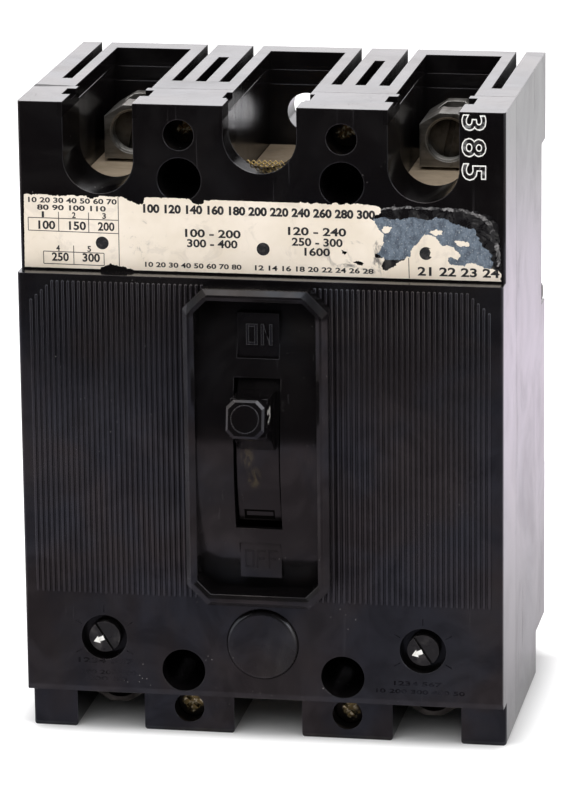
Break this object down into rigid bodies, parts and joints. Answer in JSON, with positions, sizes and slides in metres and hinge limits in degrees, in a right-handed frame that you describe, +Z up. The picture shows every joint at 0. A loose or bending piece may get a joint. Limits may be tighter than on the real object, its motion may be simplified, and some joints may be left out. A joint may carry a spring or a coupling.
{
  "type": "molded case circuit breaker",
  "caption": "Molded case circuit breaker with a toggle handle in a raised escutcheon, trip dials, screw lugs in open wells at both ends, and through holes for mounting.",
  "frame": {"origin": "centre of the bounding box at the bottom, on the floor that the feet stand on", "axes": "+Z up, front with the handle faces -Y, +X to the right seen from the front"},
  "size_m": [0.1046, 0.088, 0.1399],
  "materials": {
    "phenolic": "polished dark phenolic",
    "dial_plastic": "satin black",
    "lug_aluminium": "satin tin plated aluminium",
    "steel": "zinc plated steel",
    "copper": "dull copper",
    "fibre": "cream fibre board",
    "brass": "aged brass",
    "paper": "aged paper",
    "compound": "dark sealing compound"
  },
  "bodies": {
    "case": {"base": "phenolic", "cover": "phenolic", "handle_pivot_pin": "steel", "blank_plug": "phenolic", "left_line_lug": "lug_aluminium", "right_line_lug": "lug_aluminium", "left_line_lug_screw": "steel", "right_line_lug_screw": "steel", "left_line_strap": "copper", "right_line_strap": "copper", "left_load_lug": "lug_aluminium", "right_load_lug": "lug_aluminium", "left_load_lug_screw": "steel", "right_load_lug_screw": "steel", "left_load_strap": "copper", "right_load_strap": "copper", "left_line_fibre_plate": "fibre", "centre_line_fibre_plate": "fibre", "right_line_fibre_plate": "fibre", "left_load_fibre_plate": "fibre", "centre_load_fibre_plate": "fibre", "right_load_fibre_plate": "fibre", "vent_mesh": "brass", "upper_left_cover_screw": "brass", "upper_right_cover_screw": "brass", "lower_left_cover_screw": "brass", "lower_right_cover_screw": "brass", "rating_label": "paper", "rear_seal": "compound"},
    "switch_handle": {"handle": "phenolic", "handle_shutter": "phenolic"},
    "left_dial": {"left_trip_dial": "dial_plastic"},
    "right_dial": {"right_trip_dial": "dial_plastic"}
  },
  "joints": [
    {"name": "handle_switch", "type": "hinge", "parent": "case", "child": "switch_handle", "pos_m": [0, 0.01598, 0.0658], "axis": [1, 0, 0], "range_deg": [0, 22.1]},
    {"name": "left_dial_turn", "type": "hinge", "parent": "case", "child": "left_dial", "pos_m": [-0.03492, -0.02101, 0.02245], "axis": [0, 1, 0], "range_deg": [0, 240]},
    {"name": "right_dial_turn", "type": "hinge", "parent": "case", "child": "right_dial", "pos_m": [0.03492, -0.02101, 0.02245], "axis": [0, 1, 0], "range_deg": [0, 240]}
  ]
}
